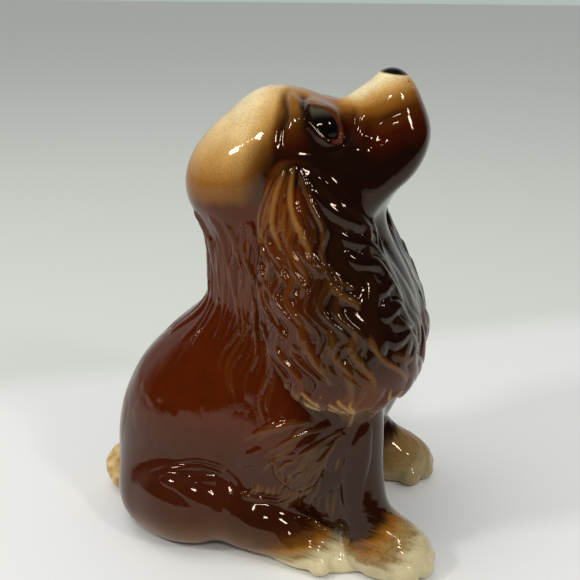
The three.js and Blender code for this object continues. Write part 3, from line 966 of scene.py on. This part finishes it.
class Graph:
    """The node tree of a material or a world."""

    def __init__(self, owner):
        owner.use_nodes = True
        self.nodes, self.links = owner.node_tree.nodes, owner.node_tree.links

    def fill(self, node, inputs):
        """Give a node's inputs values, or link other nodes' outputs to them."""
        for key, value in inputs.items():
            if isinstance(value, bpy.types.NodeSocket):
                self.links.new(value, node.inputs[key])
            else:
                node.inputs[key].default_value = value

    def node(self, kind, inputs, output, **settings):
        """The output of a new node."""
        node = self.nodes.new("ShaderNode" + kind)
        for name, value in settings.items():
            setattr(node, name, value)
        self.fill(node, inputs)
        return node.outputs[output]

    def map_range(self, value, low, high, to_low=0, to_high=1, interpolation="SMOOTHSTEP"):
        inputs = dict(enumerate((value, low, high, to_low, to_high)))
        return self.node("MapRange", inputs, "Result", interpolation_type=interpolation)

    def blend(self, factor, a, b, mode="MIX"):
        """A blend of two colours: sockets 6, 7 and 2 are the colour ones among namesakes."""
        return self.node("Mix", {0: factor, 6: a, 7: b}, 2, data_type="RGBA", blend_type=mode)

    def noise(self, scale, detail, roughness=0.5):
        place = self.node("TexCoord", {}, "Object")
        inputs = {"Scale": scale, "Detail": detail, "Roughness": roughness, "Vector": place}
        return self.node("TexNoise", inputs, "Fac")


GLAZE_ROUGHNESS = 0.06
GLAZE_IOR = 1.46
GLAZE_TINT = (1.0, 0.8, 0.64, 1)
SPECK_COLOUR = (0.16, 0.06, 0.02, 1)  # grains of the airbrush
CLOUD_COLOUR = (0.55, 0.42, 0.36, 1)  # soft patches where the colour is thicker
RIPPLE_HEIGHT = 0.0003


def glaze(slot):
    """Clear glossy glaze over airbrushed underglaze colour."""
    material = bpy.data.materials.new(slot)
    graph = Graph(material)
    grain = graph.node("Attribute", {}, "Fac", attribute_name="grain")
    painted = graph.node("Attribute", {}, "Color", attribute_name="paint")
    specks = graph.map_range(graph.noise(3000, 1), 0.48, 0.75, 0, 0.42)
    specks = graph.node("Math", {0: specks, 1: grain}, 0, operation="MULTIPLY")
    colour = graph.blend(specks, painted, SPECK_COLOUR, "MULTIPLY")
    cloud = graph.map_range(graph.noise(160, 4, 0.6), 0.35, 0.7, 0, 0.3)
    ripple = {"Strength": 0.12, "Distance": RIPPLE_HEIGHT, "Height": graph.noise(420, 2)}
    inputs = {
        "Base Color": graph.blend(cloud, colour, CLOUD_COLOUR, "MULTIPLY"),
        "Roughness": GLAZE_ROUGHNESS,
        "IOR": GLAZE_IOR,
        "Specular Tint": GLAZE_TINT,
        "Normal": graph.node("Bump", ripple, "Normal"),
    }
    graph.fill(graph.nodes["Principled BSDF"], inputs)
    return material


# -------- pieces

box_low, box_high = (np.array(corner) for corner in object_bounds())
SCALE = (box_high[2] - box_low[2]) / HEIGHT
BODY_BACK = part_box("body")[1][1]
INSIDE = [0, -5, 60]  # a point that the normals have to point away from
FAR = 1e3
TOE_RIDGE = 0.1


def to_row(p):
    """Sculpting millimetres to the row's metres."""
    return np.stack([p[:, 0], BODY_BACK / SCALE - BACK_OF_BODY - p[:, 1], p[:, 2]], 1) * SCALE


def coat_cover(points, normals, near):
    """Where the head is bare of hair, and how strongly the coat's relief shows at each point."""
    up, forward = points[:, 2], points[:, 1]
    beside_head = ease(near["head"] - near["ear"], -0.4, 0.8)
    bare = np.where(up > 91, 1 - beside_head, 0)
    combed = (1 - bare) * (1 - ease(np.abs(normals[:, 2]), 0.75, 0.95)) * (near["tail"] > 0.5)
    # It fades in front of the throat, under the jaw, round the toes and behind the hind paws.
    combed *= 1 - 0.92 * ease(coat_place(points)[0], 31, 39) * ease(up, 62, 72)
    jaw = np.minimum(near["ear"], near["body"]) - near["head"]
    combed *= 1 - ease(jaw, -2.5, 0.5) * ease(forward, 10, 16)
    combed *= 1 - (1 - ease(up, 13, 18)) * ease(forward, 7, 12)
    behind_paw = np.minimum(near["body"], near["foreleg"]) - near["hind_paw"]
    combed *= 1 - ease(behind_paw, -1.5, 0.5)
    return bare, combed


def toe_relief(points, near):
    """Low ridges that run forward over the paws to the toes."""
    up, forward = points[:, 2], points[:, 1]
    on_paws = ease(near["body"] - np.minimum(near["foreleg"], near["hind_paw"]), 0, 3)
    on_paws *= ease(forward, 2, 14) * (1 - ease(up, 14, 20)) * ease(up, 0.5, 2)
    return TOE_RIDGE * toe_strands(points) * on_paws


cage, quads = field_mesh()
points, faces = subdivided(onto_surface(cage), quads)
normals = vertex_normals(points, faces)
if np.einsum("ij,ij->i", points - INSIDE, normals).mean() < 0:
    faces, normals = faces[:, ::-1], -normals

near = part_distances(points)
names = np.array(list(near))
values = np.stack(list(near.values()))
# The neck's seam is level: nothing above it is the body's, and nothing below it is the head's.
values[0] = np.where(points[:, 2] > NECK_SEAM, FAR, values[0])
values[1] = np.where(points[:, 2] <= NECK_SEAM, FAR, values[1])

coat = comb_coat()
bare, combed = coat_cover(points, normals, near)
gold = coat.at(coat.gold, points) * combed
local = mirrored(rolled(points))
on_face = bare * (local[:, 1] > -4) * (1 - ease(eye_opening(local)[0] * -1, 0, 0.6))
strokes = face_strokes(local) * on_face * ease(-local[:, 0], 4, 8)
relief = coat.at(coat.relief, points) * combed + strokes + toe_relief(points, near)
points = points + normals * relief[:, None]
normals = vertex_normals(points, faces)
colour, grain = paint(points, near, gold, np.clip(-1.6 * strokes, 0, 1))
colour = np.column_stack([colour, np.ones(len(colour))]).astype(np.float32)
grain = grain.astype(np.float32)

face_owner = names[values[:, faces].mean(2).argmin(0)]
face_right = points[faces, 0].mean(1) < 0
slots = {entry["node"]: entry["material_slot"] for entry in frame["record"]["subparts"]}
materials = {slot: glaze(slot) for slot in sorted(set(slots.values()))}
row_points = to_row(points)
row_normals = normals * [1, -1, 1]
for node, slot in slots.items():
    part = node.removesuffix("_left").removesuffix("_right")
    mine = face_owner == part
    if part != node:
        mine &= face_right == node.endswith("_right")
    used, index = np.unique(faces[mine], return_inverse=True)
    mesh = build_mesh(f"{node}_casting", row_points[used], index.reshape(-1, 4)[:, ::-1])
    mesh.shade_smooth()
    mesh.normals_split_custom_set_from_vertices(row_normals[used])
    attribute = mesh.attributes.new("paint", "FLOAT_COLOR", "POINT")
    attribute.data.foreach_set("color", colour[used].ravel())
    attribute = mesh.attributes.new("grain", "FLOAT", "POINT")
    attribute.data.foreach_set("value", grain[used])
    mesh.materials.append(materials[slot])
    piece = add(f"{node}_casting", mesh)
    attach(piece, "root")
    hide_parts(node)

# -------- table, light and camera

MM = 0.001
TABLE_SIZE = 6
PAPER = (0.84, 0.85, 0.84)
BACKDROP = (0.72, 0.755, 0.71)
PAPER_EDGE = 0.084  # from the middle of the figure to where the paper meets the backdrop
PAPER_BLEND = 0.03
PAPER_EDGE_TURN = math.radians(-27.5)
WALL_COLOUR = (0.44, 0.5, 0.47)
ROOM_TURN = math.radians(25)  # the dim side of the room is centred this far forward of the dog's right
LAMP_REACH = 0.8
LAMP_AIM = 0.06  # how high on the figure the lamps point
LAMP_COLOUR = (1, 0.98, 0.94)
NECK_Y = BODY_BACK - BACK_OF_BODY * SCALE


def paper_material():
    """White paper that blends into a pale backdrop behind the figure."""
    material = bpy.data.materials.new("table_paper")
    graph = Graph(material)
    place = graph.node("TexCoord", {}, "Object")
    turned = graph.node("Mapping", {"Vector": place, "Rotation": (0, 0, PAPER_EDGE_TURN)}, "Vector")
    away = graph.node("SeparateXYZ", {0: turned}, "X")
    reach = graph.map_range(away, PAPER_EDGE, PAPER_EDGE + PAPER_BLEND)
    colour = graph.blend(reach, (*PAPER, 1), (*BACKDROP, 1))
    inputs = {"Base Color": colour, "Roughness": 0.85, "Specular IOR Level": 0.2}
    graph.fill(graph.nodes["Principled BSDF"], inputs)
    return material


bpy.ops.mesh.primitive_plane_add(size=TABLE_SIZE)
floor = bpy.context.object
floor.name = "table"
floor.data.materials.append(paper_material())
floor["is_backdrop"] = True


def studio_world():
    """What the glaze mirrors: a dim room on the camera's side, and a pale wall behind the figure."""
    world = bpy.data.worlds.new("studio")
    scene.world = world
    graph = Graph(world)
    around = graph.node("TexCoord", {}, "Generated")
    height = graph.node("SeparateXYZ", {0: around}, "Z")

    def by_height(*stops):
        """A grey that runs through stops of (height, level), where straight up is 1."""
        node = graph.nodes.new("ShaderNodeValToRGB")
        node.color_ramp.interpolation = "EASE"
        while len(node.color_ramp.elements) < len(stops):
            node.color_ramp.elements.new(0.5)
        for element, (position, level) in zip(node.color_ramp.elements, stops):
            element.position = position
            element.color = (level, level, level, 1)
        graph.fill(node, {"Fac": height})
        return node.outputs["Color"]

    room = by_height((0, 0.02), (0.8, 0.02), (1, 0.1))
    wall = by_height((0, 0.42), (0.35, 0.46), (0.7, 0.1), (1, 0.06))
    ambient = by_height((0, 0.2), (0.3, 0.26), (1, 0.72))
    aim = (-math.cos(ROOM_TURN), -math.sin(ROOM_TURN), 0)
    toward = graph.node("VectorMath", {0: around, 1: aim}, "Value", operation="DOT_PRODUCT")
    side = graph.map_range(toward, -0.62, -0.25, interpolation="LINEAR")
    in_glaze = graph.node("LightPath", {}, "Is Glossy Ray")
    in_view = graph.node("LightPath", {}, "Is Camera Ray")
    lit = graph.blend(in_glaze, ambient, graph.blend(side, wall, room))
    shown = graph.blend(in_view, lit, (*WALL_COLOUR, 1))
    graph.fill(graph.nodes["Background"], {"Color": shown})
    world.cycles.sampling_method = "NONE"


scene.view_settings.view_transform = "Standard"
studio_world()


def lamp(name, azimuth, elevation, size, power, mirrored=True):
    """A ceiling lamp, its azimuth turned forward from the dog's right and its elevation in degrees."""
    around, lift = math.radians(azimuth), math.radians(elevation)
    level = math.cos(lift)
    away = np.array([-math.cos(around) * level, -math.sin(around) * level, math.sin(lift)])
    light = bpy.data.lights.new(name, "AREA")
    light.shape = "RECTANGLE"
    light.size, light.size_y = size
    light.energy = power
    light.color = LAMP_COLOUR
    holder = add(name, light)
    holder.location = np.array([0, NECK_Y, LAMP_AIM]) + LAMP_REACH * away
    holder.rotation_euler = Vector(-away).to_track_quat("-Z", "Y").to_euler()
    holder.visible_glossy = mirrored


lamp("front_lamp", 60, 39, (0.08, 0.1), 0.9)
lamp("back_lamp", -52, 40, (0.1, 0.12), 1.5)
lamp("side_lamp", 12, 43, (0.12, 0.07), 0.9)
lamp("top_lamp", -70, 74, (0.4, 0.4), 1.3, mirrored=False)

CAMERA_REACH = 220 * MM
CAMERA_TURN = math.radians(12)
CAMERA_HEIGHT = 149.5 * MM
CAMERA_PITCH = math.radians(20.7)
CAMERA_LENS = 54.6
camera_data = bpy.data.cameras.new("camera")
camera_data.lens = CAMERA_LENS
camera_data.sensor_width = 36
camera = add("camera", camera_data)
camera.location = (
    -CAMERA_REACH * math.cos(CAMERA_TURN),
    NECK_Y - CAMERA_REACH * math.sin(CAMERA_TURN),
    CAMERA_HEIGHT,
)
camera.rotation_euler = (math.pi / 2 - CAMERA_PITCH, 0, CAMERA_TURN - math.pi / 2)
bpy.context.scene.camera = camera
